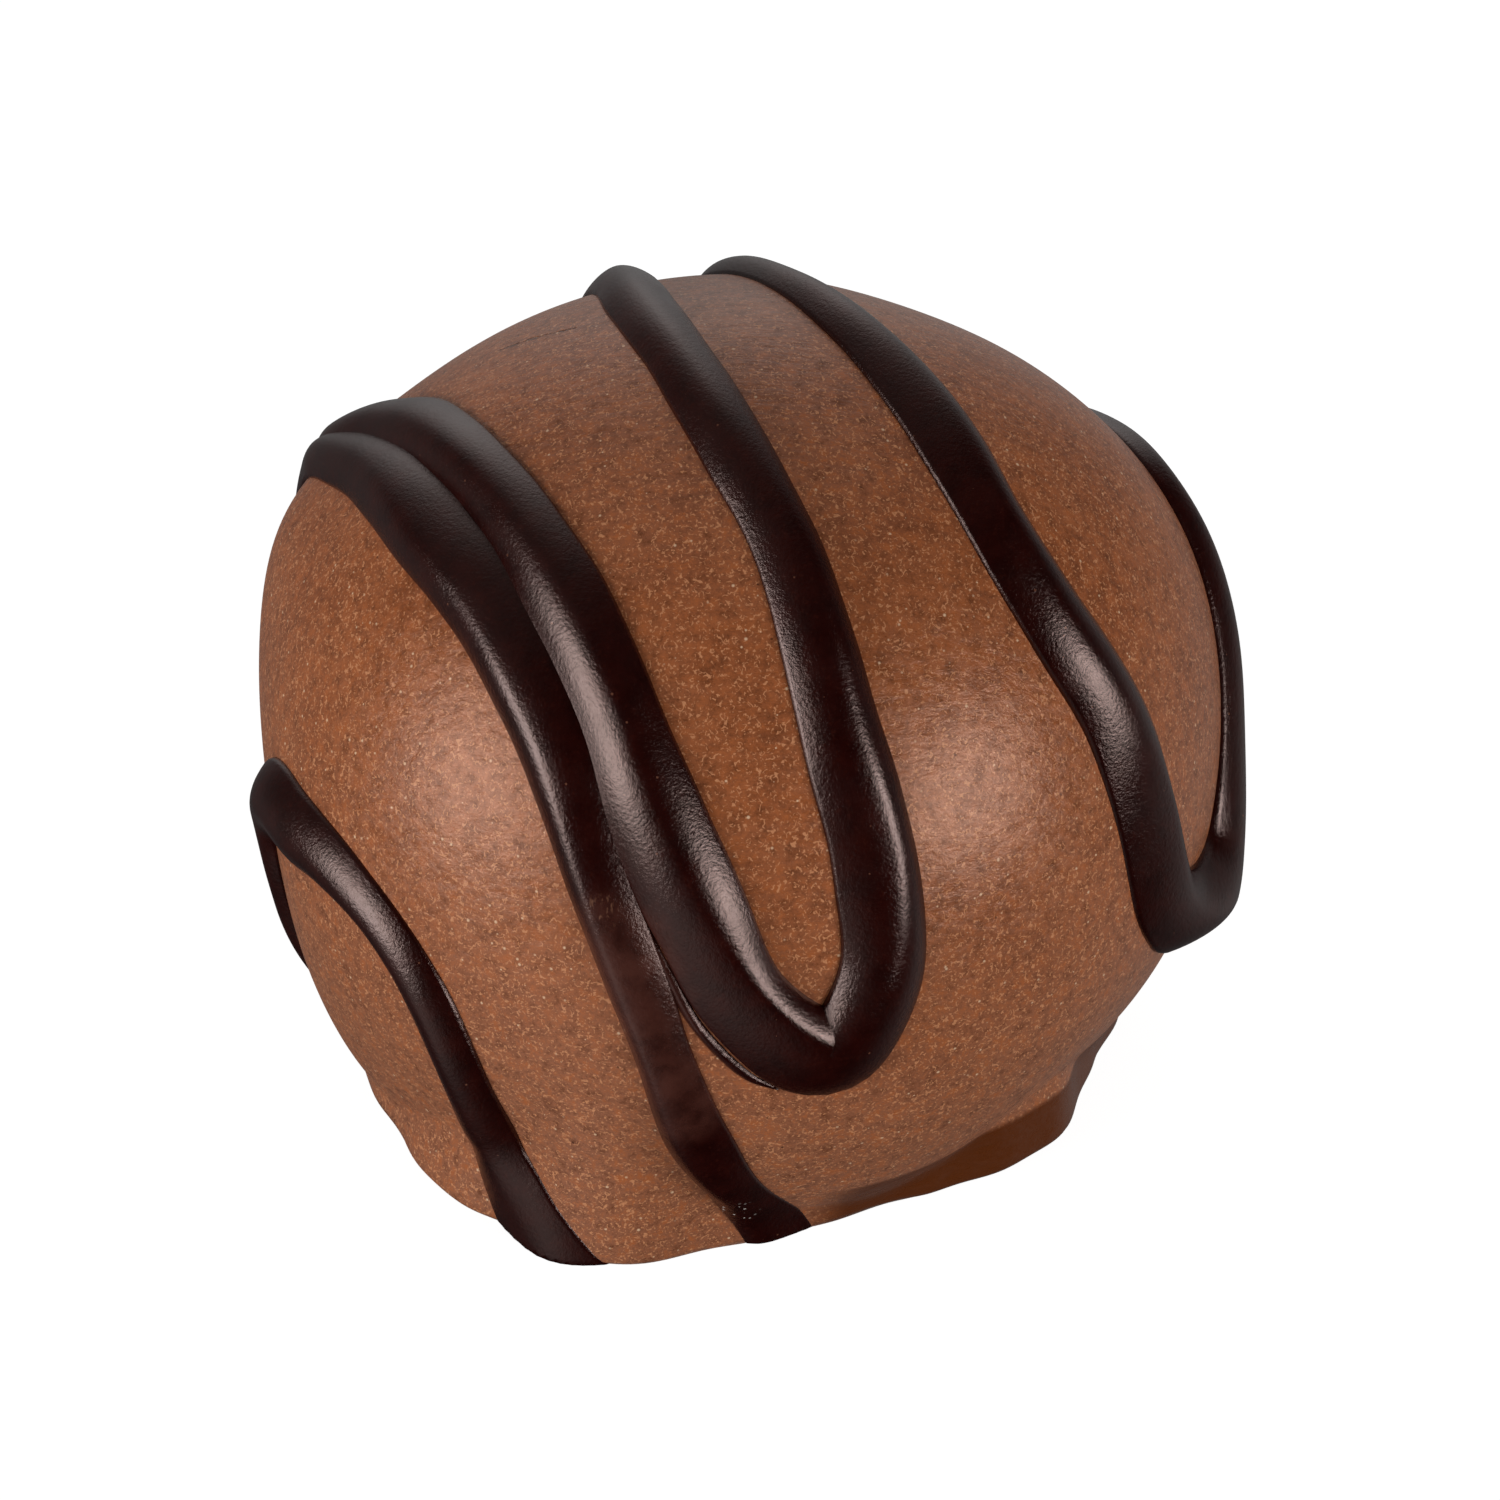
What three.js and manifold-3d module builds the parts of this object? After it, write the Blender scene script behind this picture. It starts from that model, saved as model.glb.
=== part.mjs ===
// A round praline: a milk chocolate ball that has settled on a flat base with a small spread foot,
// crossed by a thick dark chocolate drizzle that has set on it as one with the ball.
// Millimetres and degrees. +Z is up, the origin is on the base, under the centre of the ball.
// Azimuth runs counter-clockwise seen from above, from +X. The side that faces -Y is the front.

import * as THREE from 'three';
import { mergeVertices } from 'three/addons/utils/BufferGeometryUtils.js';
import Module from 'manifold-3d';

// Ball

const BALL_RADIUS = 15;
const CENTRE_HEIGHT = 9;

// Each swell or dent of the ball: where it is, how far it stands out, how wide it spreads
const SWELLS = [
  { azimuth: 161, latitude: 21, rise: 0.78, spread: 14 },
  { azimuth: 17, latitude: 20, rise: 0.5, spread: 22 },
  { azimuth: 209, latitude: -34, rise: 0.35, spread: 13 },
  { azimuth: 184, latitude: -8, rise: -0.6, spread: 15 },
  { azimuth: 98, latitude: 50, rise: -0.3, spread: 34 },
  { azimuth: 60, latitude: 46, rise: -0.2, spread: 14 },
  { azimuth: 330, latitude: -24, rise: -0.3, spread: 16 },
  { azimuth: 316, latitude: -36, rise: -0.7, spread: 15 },
];

// Foot: the chocolate that ran down and set on the table round the ball

const FOOT_RADIUS = 12.15;
const FOOT_LOBES = [
  { azimuth: 253, reach: 2.2, spread: 14.5 },
  { azimuth: 230, reach: 1.8, spread: 15 },
  { azimuth: 317, reach: 0.85, spread: 18 },
  { azimuth: 30, reach: 0.4, spread: 16 },
  { azimuth: 85, reach: 0.7, spread: 30 },
  { azimuth: 150, reach: 0.5, spread: 20 },
];
const FOOT_RIPPLES = [
  { waves: 7, depth: 0.1, shift: 1 },
  { waves: 16, depth: 0.07, shift: 0 },
];
const FOOT_FLARE = 0.28;
const FOOT_FLARE_CURVE = 0.16;
const FOOT_DRAFT = 0.05;
const FOOT_EDGE_HEIGHT = 0.35;
const FOOT_EDGE_DEPTH = 0.25;
const FOOT_BLEND = 1.6;
const FOOT_FITTING_PASSES = 12;
const EDGE_FITTING_PASSES = 30;
// Above this height of a direction, as a share of its length, there is only the ball
const FOOT_STARTS_BELOW = -0.15;

// Where the body comes down full to the table, with hardly a waist over the foot
const FULL_AZIMUTH = 254;
const FULL_SPREAD = 24;
const FULL_FLARE_SHARE = 0.15;
const FULL_BLEND = 3;

// Where the foot stands up as a crisp skirt under the belly
const SKIRT_AZIMUTH = 316;
const SKIRT_SPREAD = 28;
const SKIRT_BLEND = 0.15;

// Drizzle: its route over the ball as rows of azimuth, latitude and width

const LEFT_LOOP = [
  [189, -38, 1.5],
  [191.5, -17.9, 1.1],
  [193, -9, 1.1],
  [194.2, 0.5, 1.6],
  [198.9, 7.2, 2.7],
  [206.5, 8.9, 2.65],
  [212.5, 9.6, 2.3],
  [218.3, 9.1, 2.05],
  [224, 7.3, 1.85],
  [228.6, 4.2, 1.85],
  [232.2, -0.1, 2],
  [235, -6.4, 1.95],
  [237, -14.2, 2.05],
  [238.8, -22.5, 2.35],
  [242.6, -27.6, 2.6],
  [247, -32.5, 2.8],
  [252, -38, 2.9],
];
const FIRST_STROKE_UP = [
  [277.5, -37.5, 1.75],
  [274.3, -31.6, 1.8],
  [270.6, -25, 1.8],
  [265.8, -12.7, 2.1],
  [262.2, 0.3, 1.85],
  [258.9, 10.5, 1.95],
  [252.9, 23.7, 2.2],
  [244.5, 36.8, 2.6],
  [223.6, 47.8, 2.6],
  [201.4, 49.3, 2.8],
  [181, 45.5, 2.6],
  [165.4, 36.6, 2.2],
  [154.1, 23.6, 1.75],
];
const TURN_BEHIND_LEFT = [
  [150, 7.8, 1.75],
  [145.7, 3, 1.8],
  [140, 2.9, 1.9],
  [136.3, 7.9, 2],
  [139.4, 17.8, 2.1],
];
const WIDE_STROKE_DOWN = [
  [153.2, 27.8, 2.2],
  [162.7, 42, 2.3],
  [174.2, 51.2, 2.4],
  [207.5, 58.4, 2.2],
  [234.9, 53.5, 2.65],
  [249.2, 44.8, 2.65],
  [258.7, 32.5, 3.05],
  [265.9, 20.1, 3.1],
];
const FRONT_TURN = [
  [271, 9.8, 2.85],
  [278.9, 1.8, 3.25],
  [281.6, 1.4, 3.15],
  [287.2, 11.1, 2.7],
];
const MIDDLE_STROKE_UP = [
  [287.9, 24.2, 2.7],
  [286, 41.2, 2.5],
  [285.1, 51.3, 2.35],
  [283.1, 62.7, 2.1],
  [271, 75.8, 2.2],
  [188, 84.6, 2.1],
  [124, 70, 2.1],
  [112, 50, 2],
];
const BACK_TURN = [
  [109, 33, 2],
  [106, 23, 2],
  [99.5, 18.5, 2],
  [93.7, 21.3, 1.9],
  [92.8, 33.1, 1.65],
];
const RIGHT_STROKE_DOWN = [
  [92, 43.7, 1.5],
  [78.1, 62.9, 1.45],
  [43.3, 71.9, 1.95],
  [355, 67.6, 2.5],
  [332.1, 53.4, 2.5],
  [328.4, 41.6, 2.65],
  [329, 26.2, 2.9],
  [328.6, 14.4, 2.8],
  [329.5, 4.2, 2.9],
];
const RIGHT_TURN = [
  [332.2, -1.8, 2.65],
  [337, -6.5, 2.9],
  [344, -8.6, 2.9],
  [349.6, -7.2, 2.7],
];
const LAST_STROKE_OVER = [
  [355, -1.7, 2.45],
  [2.5, 6.6, 2.1],
  [12.8, 16.5, 2.05],
  [23.5, 24.5, 1.85],
  [35, 23, 1.9],
  [45, 18, 2],
  [54, 5, 2],
  [60, -15, 2],
  [62, -38, 2],
];
const LONG_ZIGZAG = [
  ...FIRST_STROKE_UP,
  ...TURN_BEHIND_LEFT,
  ...WIDE_STROKE_DOWN,
  ...FRONT_TURN,
  ...MIDDLE_STROKE_UP,
  ...BACK_TURN,
  ...RIGHT_STROKE_DOWN,
  ...RIGHT_TURN,
  ...LAST_STROKE_OVER,
];

// Section of the drizzle: a low dome whose height grows with its width
const DOME_BASE_HEIGHT = 0.32;
const DOME_HEIGHT_PER_WIDTH = 0.18;
const DOME_POWER = 0.7;
const DOME_SINK = 0.08;
const ROOT_DEPTH = 0.5;
const ROOT_WIDTH_SHARE = 0.8;

// Where the drizzle is thicker, at the right turn and the front turn
const DRIZZLE_SWELLS = [
  { azimuth: 342.5, latitude: -10, rise: 0.6, spread: 11 },
  { azimuth: 277, latitude: 5, rise: 0.2, spread: 11 },
];

// Towards each end the drizzle thins out
const END_LENGTH = 6;
const END_HEIGHT_SHARE = 0.35;

// Fineness of the facets
const BODY_STEPS_AROUND = 72;
const BODY_STEPS_DOWN = 22;
const BASE_RING_SHARES = [0.6, 0.25];
const DOME_STEPS = 6;
const RING_SPACING = 1.15;
const RINGS_PER_LENGTH = 12;

const MILK_CHOCOLATE = new THREE.MeshStandardMaterial({
  color: 0x7d4f3a,
  roughness: 0.42,
  metalness: 0,
});

const { degToRad, radToDeg, clamp, lerp, smoothstep } = THREE.MathUtils;

function direction(azimuth, latitude) {
  const a = degToRad(azimuth);
  const l = degToRad(latitude);
  return new THREE.Vector3(Math.cos(l) * Math.cos(a), Math.cos(l) * Math.sin(a), Math.sin(l));
}

function azimuthOf(unit) {
  return radToDeg(Math.atan2(unit.y, unit.x));
}

// Degrees from one azimuth to another, between -180 and 180
function turn(from, to) {
  return THREE.MathUtils.euclideanModulo(to - from + 180, 360) - 180;
}

function bell(distance, spread) {
  return Math.exp(-((distance / spread) ** 2));
}

// The larger of two lengths, rounded over where they are nearly equal
function softMax(a, b, softness) {
  const share = clamp(0.5 + (0.5 * (a - b)) / softness, 0, 1);
  return lerp(b, a, share) + softness * share * (1 - share);
}

function ballReach(unit) {
  let reach = BALL_RADIUS;
  for (const swell of SWELLS) {
    const away = radToDeg(unit.angleTo(direction(swell.azimuth, swell.latitude)));
    reach += swell.rise * bell(away, swell.spread);
  }
  return reach;
}

// 1 where the foot is an upright skirt, 0 where it flares softly
function skirtShare(azimuth) {
  return Math.exp(-((turn(SKIRT_AZIMUTH, azimuth) / SKIRT_SPREAD) ** 4));
}

// 1 where the body comes down full to the table, 0 where the foot flares out from a waist
function fullShare(azimuth) {
  return bell(turn(FULL_AZIMUTH, azimuth), FULL_SPREAD);
}

function footRadius(azimuth) {
  let radius = FOOT_RADIUS;
  for (const lobe of FOOT_LOBES) {
    radius += lobe.reach * bell(turn(lobe.azimuth, azimuth), lobe.spread);
  }
  for (const ripple of FOOT_RIPPLES) {
    radius += ripple.depth * Math.sin(ripple.waves * degToRad(azimuth) + ripple.shift);
  }
  return radius;
}

// Radius of the foot at a height above the table: its lower edge is rounded, its side leans in
function footRadiusAt(azimuth, height) {
  const up = Math.max(height, 0);
  const flareShare = (1 - skirtShare(azimuth)) * lerp(1, FULL_FLARE_SHARE, fullShare(azimuth));
  const flare = flareShare * (FOOT_FLARE * up + FOOT_FLARE_CURVE * up * up);
  const edge = clamp(1 - height / FOOT_EDGE_HEIGHT, 0, 1);
  return footRadius(azimuth) - flare - FOOT_DRAFT * up - FOOT_EDGE_DEPTH * edge * edge;
}

// Distance from the ball's centre to the foot's side along a direction that points down
function footReach(unit) {
  const azimuth = azimuthOf(unit);
  const level = Math.hypot(unit.x, unit.y);
  let reach = footRadius(azimuth) / level;
  for (let pass = 0; pass < FOOT_FITTING_PASSES; pass += 1) {
    reach = footRadiusAt(azimuth, CENTRE_HEIGHT + reach * unit.z) / level;
  }
  return reach;
}

// Distance from the ball's centre to the surface of ball and foot together
function bodyReach(unit) {
  const ball = ballReach(unit);
  if (unit.z > FOOT_STARTS_BELOW) {
    return ball;
  }
  const azimuth = azimuthOf(unit);
  const softness = lerp(FOOT_BLEND, FULL_BLEND, fullShare(azimuth));
  return softMax(ball, footReach(unit), lerp(softness, SKIRT_BLEND, skirtShare(azimuth)));
}

// Latitude at which the body meets the table
function edgeLatitude(azimuth) {
  let low = -60;
  let high = -10;
  for (let pass = 0; pass < EDGE_FITTING_PASSES; pass += 1) {
    const middle = (low + high) / 2;
    const unit = direction(azimuth, middle);
    if (bodyReach(unit) * unit.z < -CENTRE_HEIGHT) {
      low = middle;
    } else {
      high = middle;
    }
  }
  return high;
}

// A point along a direction from the ball's centre, in the part's own frame
function pointAlong(unit, reach) {
  const point = unit.clone().multiplyScalar(reach);
  point.z += CENTRE_HEIGHT;
  return point;
}

// A closed solid through rings of points, each end closed by a fan round the ring's middle
function solidThroughRings(rings) {
  const count = rings[0].length;
  const points = rings.flat();
  const faces = [];
  for (let ring = 0; ring + 1 < rings.length; ring += 1) {
    for (let side = 0; side < count; side += 1) {
      const a = ring * count + side;
      const b = ring * count + ((side + 1) % count);
      faces.push([a, a + count, b + count], [a, b + count, b]);
    }
  }
  const capRing = (ring, flipped) => {
    const middle = new THREE.Vector3();
    for (const point of rings[ring]) {
      middle.addScaledVector(point, 1 / count);
    }
    points.push(middle);
    const hub = points.length - 1;
    for (let side = 0; side < count; side += 1) {
      const a = ring * count + side;
      const b = ring * count + ((side + 1) % count);
      faces.push(flipped ? [hub, b, a] : [hub, a, b]);
    }
  };
  capRing(0, false);
  capRing(rings.length - 1, true);
  return { points, faces };
}

function bodySolid() {
  const azimuths = [];
  for (let step = 0; step < BODY_STEPS_AROUND; step += 1) {
    azimuths.push((step * 360) / BODY_STEPS_AROUND);
  }
  const edges = azimuths.map(edgeLatitude);
  const rings = [];
  for (let row = 1; row <= BODY_STEPS_DOWN; row += 1) {
    const share = row / BODY_STEPS_DOWN;
    const ring = azimuths.map((azimuth, index) => {
      const unit = direction(azimuth, lerp(90, edges[index], share));
      return pointAlong(unit, bodyReach(unit));
    });
    rings.push(ring);
  }
  const rim = rings.at(-1);
  for (const point of rim) {
    point.z = 0;
  }
  for (const share of BASE_RING_SHARES) {
    rings.push(rim.map((point) => new THREE.Vector3(point.x * share, point.y * share, 0)));
  }
  return solidThroughRings(rings);
}

// The drizzle's section at one place of its route: a dome on the body, rooted in it
function drizzleRing(middle, across, width, domeHeight) {
  const halfAngle = width / 2 / BALL_RADIUS;
  const onBody = (share, lift) => {
    const unit = middle.clone().addScaledVector(across, share * halfAngle).normalize();
    return pointAlong(unit, bodyReach(unit) + lift);
  };
  const ring = [];
  for (let step = 0; step <= DOME_STEPS; step += 1) {
    const share = Math.cos((Math.PI * step) / DOME_STEPS);
    const rise = Math.max(1 - share * share, 0) ** DOME_POWER;
    ring.push(onBody(share, lerp(-DOME_SINK, domeHeight, rise)));
  }
  ring.push(onBody(-ROOT_WIDTH_SHARE, -ROOT_DEPTH));
  ring.push(onBody(ROOT_WIDTH_SHARE, -ROOT_DEPTH));
  return ring;
}

// How much higher the drizzle stands at a place of its route
function drizzleSwell(middle) {
  let rise = 0;
  for (const swell of DRIZZLE_SWELLS) {
    const away = radToDeg(middle.angleTo(direction(swell.azimuth, swell.latitude)));
    rise += swell.rise * bell(away, swell.spread);
  }
  return rise;
}

// Rings along a route at even steps
function drizzleRings(route) {
  const knots = route.map(([azimuth, latitude]) => direction(azimuth, latitude).multiplyScalar(BALL_RADIUS));
  const curve = new THREE.CatmullRomCurve3(knots, false, 'centripetal');
  const routeLength = curve.getLength();
  const steps = Math.round(routeLength / RING_SPACING);
  const rings = [];
  for (let step = 0; step <= steps; step += 1) {
    const share = curve.getUtoTmapping(step / steps);
    const middle = curve.getPoint(share).normalize();
    const along = curve.getTangent(share);
    const across = new THREE.Vector3().crossVectors(along, middle).normalize();
    const place = share * (route.length - 1);
    const before = Math.min(Math.floor(place), route.length - 2);
    const width = lerp(route[before][2], route[before + 1][2], place - before);
    const toEnd = (Math.min(step, steps - step) / steps) * routeLength;
    const fullness = lerp(END_HEIGHT_SHARE, 1, smoothstep(toEnd, 0, END_LENGTH));
    const fullHeight = DOME_BASE_HEIGHT + DOME_HEIGHT_PER_WIDTH * width + drizzleSwell(middle);
    rings.push(drizzleRing(middle, across, width, fullHeight * fullness));
  }
  return rings;
}

// The drizzle as short lengths that share their end rings, so that it can lie against itself
function drizzleSolids(route) {
  const rings = drizzleRings(route);
  const solids = [];
  for (let first = 0; first + 1 < rings.length; first += RINGS_PER_LENGTH) {
    solids.push(solidThroughRings(rings.slice(first, first + RINGS_PER_LENGTH + 1)));
  }
  return solids;
}

// Block of space below the table, to cut what runs through it
function belowTable() {
  const size = 4 * BALL_RADIUS;
  const box = new THREE.BoxGeometry(size, size, size);
  box.translate(0, 0, -size / 2);
  box.deleteAttribute('normal');
  box.deleteAttribute('uv');
  return mergeVertices(box);
}

const wasm = await Module();
wasm.setup();

function manifoldOf(vertices, triangles) {
  return new wasm.Manifold(new wasm.Mesh({
    numProp: 3,
    vertProperties: Float32Array.from(vertices),
    triVerts: Uint32Array.from(triangles),
  }));
}

function manifoldOfSolid({ points, faces }) {
  return manifoldOf(points.flatMap((point) => point.toArray()), faces.flat());
}

function manifoldOfGeometry(geometry) {
  return manifoldOf(geometry.attributes.position.array, geometry.index.array);
}

// The largest of a solid's separate shells, so that no scrap or sealed pocket of the joins is left
function largestShell(manifold) {
  return manifold.decompose().reduce((a, b) => (b.volume() > a.volume() ? b : a));
}

function geometryOf(manifold) {
  const mesh = manifold.getMesh();
  const geometry = new THREE.BufferGeometry();
  geometry.setAttribute('position', new THREE.BufferAttribute(mesh.vertProperties, 3));
  geometry.setIndex(new THREE.BufferAttribute(mesh.triVerts, 1));
  const merged = mergeVertices(geometry);
  merged.computeVertexNormals();
  return merged;
}

function chocolate() {
  let whole = manifoldOfSolid(bodySolid());
  for (const route of [LEFT_LOOP, LONG_ZIGZAG]) {
    for (const length of drizzleSolids(route)) {
      whole = whole.add(manifoldOfSolid(length));
    }
  }
  whole = whole.subtract(manifoldOfGeometry(belowTable()));
  const mesh = new THREE.Mesh(geometryOf(largestShell(whole)), MILK_CHOCOLATE);
  mesh.name = 'chocolate';
  return mesh;
}

const group = new THREE.Group();
group.name = 'walnut_chocolate';
group.add(chocolate());

export default group;
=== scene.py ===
import math

import bmesh
import bpy
import numpy as np
from mathutils import Matrix, Vector


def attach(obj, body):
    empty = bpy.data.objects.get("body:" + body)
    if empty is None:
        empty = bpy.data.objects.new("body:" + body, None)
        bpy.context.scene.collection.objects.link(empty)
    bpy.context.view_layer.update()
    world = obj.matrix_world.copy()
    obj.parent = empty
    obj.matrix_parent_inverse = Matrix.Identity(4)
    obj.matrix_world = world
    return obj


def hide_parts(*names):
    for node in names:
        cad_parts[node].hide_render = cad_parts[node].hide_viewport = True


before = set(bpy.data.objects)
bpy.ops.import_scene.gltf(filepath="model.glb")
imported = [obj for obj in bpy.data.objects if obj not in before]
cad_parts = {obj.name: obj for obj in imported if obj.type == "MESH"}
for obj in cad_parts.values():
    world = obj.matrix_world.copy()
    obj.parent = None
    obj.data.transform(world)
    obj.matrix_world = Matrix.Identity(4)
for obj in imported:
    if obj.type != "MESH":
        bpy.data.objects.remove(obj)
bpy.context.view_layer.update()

# Shapes are worked out in millimetres and degrees, and go into Blender in metres.
# Azimuth runs counter-clockwise seen from above, from +X. The side that faces -Y is the front.
METRES = 0.001

# Ball

BALL_RADIUS = 15
CENTRE_HEIGHT = 9

# Each swell or dent of the ball: azimuth, latitude, rise, spread
SWELLS = [
    (161, 21, 0.78, 14),
    (17, 20, 0.5, 22),
    (209, -34, 0.35, 13),
    (184, -8, -0.6, 15),
    (98, 50, -0.3, 34),
    (60, 46, -0.2, 14),
    (330, -24, -0.3, 16),
    (316, -36, -0.7, 15),
]

# Foot: the chocolate that ran down and set on the table round the ball.
# Lobes are azimuth, reach, spread; ripples are waves, depth, shift.
FOOT_RADIUS = 12.15
FOOT_LOBES = [
    (253, 2.2, 14.5),
    (230, 1.8, 15),
    (317, 0.85, 18),
    (30, 0.4, 16),
    (85, 0.7, 30),
    (150, 0.5, 20),
]
FOOT_RIPPLES = [
    (7, 0.1, 1),
    (16, 0.07, 0),
    (29, 0.05, 2),
]
FOOT_FLARE = 0.28
FOOT_FLARE_CURVE = 0.16
FOOT_DRAFT = 0.05
FOOT_EDGE_HEIGHT = 0.35
FOOT_EDGE_DEPTH = 0.25
FOOT_BLEND = 1.6
FOOT_STARTS_BELOW = -0.15
FOOT_FITTING_PASSES = 12
SMALLEST_LEVEL = 1e-6

# Where the body meets the table is looked for between these latitudes
EDGE_LATITUDE_LOWEST = -60
EDGE_LATITUDE_HIGHEST = -10
EDGE_FITTING_PASSES = 30

# Where the body comes down full to the table, with hardly a waist over the foot
FULL_AZIMUTH = 254
FULL_SPREAD = 24
FULL_FLARE_SHARE = 0.15
FULL_BLEND = 3

# Where the foot stands up as a crisp skirt under the belly
SKIRT_AZIMUTH = 316
SKIRT_SPREAD = 28
SKIRT_BLEND = 0.15

# Drizzle: its route over the ball as rows of azimuth, latitude, width, and the place of its ridge
# from -1 at its left edge to 1 at its right edge, seen along the route
LEFT_LOOP = [
    (189, -38, 1.5, 0),
    (191.5, -17.9, 1.1, 0),
    (193, -9, 1.1, 0),
    (194.2, 0.5, 1.6, 0),
    (198.9, 7.2, 2.7, 0),
    (206.5, 8.9, 2.65, 0),
    (212.5, 9.6, 2.3, 0.1),
    (218.3, 9.1, 2.05, 0.15),
    (224, 7.3, 1.85, 0.15),
    (228.6, 4.2, 1.85, 0.1),
    (232.2, -0.1, 2, 0),
    (235, -6.4, 1.95, 0),
    (237, -14.2, 2.05, 0),
    (238.8, -22.5, 2.35, 0),
    (242.6, -27.6, 2.6, 0),
    (247, -32.5, 2.8, 0),
    (252, -38, 2.9, 0),
]
FIRST_STROKE_UP = [
    (277.5, -37.5, 1.75, -0.2),
    (274.3, -31.6, 1.8, -0.25),
    (270.6, -25, 1.8, -0.3),
    (265.8, -12.7, 2.1, -0.35),
    (262.2, 0.3, 1.85, -0.35),
    (258.9, 10.5, 1.95, -0.35),
    (252.9, 23.7, 2.2, -0.35),
    (244.5, 36.8, 2.6, -0.3),
    (223.6, 47.8, 2.6, -0.25),
    (201.4, 49.3, 2.8, -0.2),
    (181, 45.5, 2.6, 0),
    (165.4, 36.6, 2.2, 0),
    (154.1, 23.6, 1.75, 0),
]
TURN_BEHIND_LEFT = [
    (150, 7.8, 1.75, 0),
    (145.7, 3, 1.8, 0),
    (140, 2.9, 1.9, 0),
    (136.3, 7.9, 2, 0),
    (139.4, 17.8, 2.1, 0),
]
WIDE_STROKE_DOWN = [
    (153.2, 27.8, 2.2, 0),
    (162.7, 42, 2.3, 0),
    (174.2, 51.2, 2.4, 0),
    (207.5, 58.4, 2.2, 0),
    (234.9, 53.5, 2.65, -0.1),
    (249.2, 44.8, 2.65, -0.15),
    (258.7, 32.5, 3.05, -0.15),
    (265.9, 20.1, 3.1, -0.2),
]
FRONT_TURN = [
    (271, 9.8, 2.85, -0.5),
    (278.9, 1.8, 3.25, -0.5),
    (281.6, 1.4, 3.15, -0.45),
    (287.2, 11.1, 2.7, 0),
]
MIDDLE_STROKE_UP = [
    (287.9, 24.2, 2.7, 0.4),
    (286, 41.2, 2.5, 0.25),
    (285.1, 51.3, 2.35, 0.25),
    (283.1, 62.7, 2.1, 0.25),
    (271, 75.8, 2.2, 0.1),
    (188, 84.6, 2.1, 0),
    (124, 70, 2.1, 0),
    (112, 50, 2, 0),
]
BACK_TURN = [
    (109, 33, 2, 0),
    (106, 23, 2, 0),
    (99.5, 18.5, 2, 0),
    (93.7, 21.3, 1.9, 0),
    (92.8, 33.1, 1.65, 0),
]
RIGHT_STROKE_DOWN = [
    (92, 43.7, 1.5, 0),
    (78.1, 62.9, 1.45, 0),
    (43.3, 71.9, 1.95, 0),
    (355, 67.6, 2.5, -0.1),
    (332.1, 53.4, 2.5, -0.1),
    (328.4, 41.6, 2.65, 0),
    (329, 26.2, 2.9, -0.1),
    (328.6, 14.4, 2.8, -0.5),
    (329.5, 4.2, 2.9, -0.4),
]
RIGHT_TURN = [
    (332.2, -1.8, 2.65, -0.25),
    (337, -6.5, 2.9, -0.15),
    (344, -8.6, 2.9, 0),
    (349.6, -7.2, 2.7, 0),
]
LAST_STROKE_OVER = [
    (355, -1.7, 2.45, 0),
    (2.5, 6.6, 2.1, 0),
    (12.8, 16.5, 2.05, 0),
    (23.5, 24.5, 1.85, 0),
    (35, 23, 1.9, 0),
    (45, 18, 2, 0),
    (54, 5, 2, 0),
    (60, -15, 2, 0),
    (62, -38, 2, 0),
]
LONG_ZIGZAG = (
    FIRST_STROKE_UP
    + TURN_BEHIND_LEFT
    + WIDE_STROKE_DOWN
    + FRONT_TURN
    + MIDDLE_STROKE_UP
    + BACK_TURN
    + RIGHT_STROKE_DOWN
    + RIGHT_TURN
    + LAST_STROKE_OVER
)

# A thin thread of dark chocolate that lies just outside the front turn
THREAD = [
    (260, 17.2, 0.3, 0),
    (262.6, 12.1, 0.42, 0),
    (265.4, 6.6, 0.42, 0),
    (269.1, 1.5, 0.42, 0),
    (272, -1.6, 0.36, 0),
    (275, -3.3, 0.2, 0),
]
THREAD_HEIGHT_SHARE = 0.45

# Section of the drizzle: a rounded ridge with a curved flank and a steep lip on each side. It is
# lower where its ridge is off the middle, and its root goes down into the ball.
SECTION_BASE_HEIGHT = 0.32
SECTION_HEIGHT_PER_WIDTH = 0.18
SECTION_SINK = 0.05
FLANK_CURVE = 1.8
LIP_SHARE = 0.2
LIP_REACH = 0.1
ROOT_DEPTH = 0.5
LOWER_PER_RIDGE = 0.5

# Where the drizzle is thicker: azimuth, latitude, rise, spread
DRIZZLE_SWELLS = [
    (342.5, -10, 0.6, 11),
    (277, 5, 0.3, 10),
]

# Slow unevenness along the drizzle: wavelength in millimetres, share of width, share of height, shift.
# The height has its own slower wave, so that it doesn't swell where the width does.
UNEVENNESS = [
    (6.3, 0.012, 0.02, 0.4),
    (3.4, 0.008, 0.01, 2.1),
]
HEIGHT_WAVE_PACE = 0.83
HEIGHT_WAVE_SHIFT = 1

# Towards each end the drizzle thins out
END_LENGTH = 6
END_HEIGHT_SHARE = 0.35

# Fineness
BODY_STEPS_AROUND = 420
BODY_STEPS_DOWN = 180
SECTION_STEPS = 36
RING_SPACING = 0.2
ROUTE_STEPS_PER_ROW = 60

# Camera: elevation, distance from the point that it looks at, and where the ball's centre
# stands in the picture of 1500 by 1500 pixels
PICTURE_PIXELS = 1500
PIXELS_PER_MM = 482 / 15
CENTRE_PIXEL_X = 735
CENTRE_PIXEL_Y = 746.5
CAMERA_ELEVATION = math.radians(40)
CAMERA_DISTANCE = 300
CAMERA_NEAR_METRES = 0.01
CAMERA_FAR_METRES = 100
SENSOR_WIDTH = 36

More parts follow.
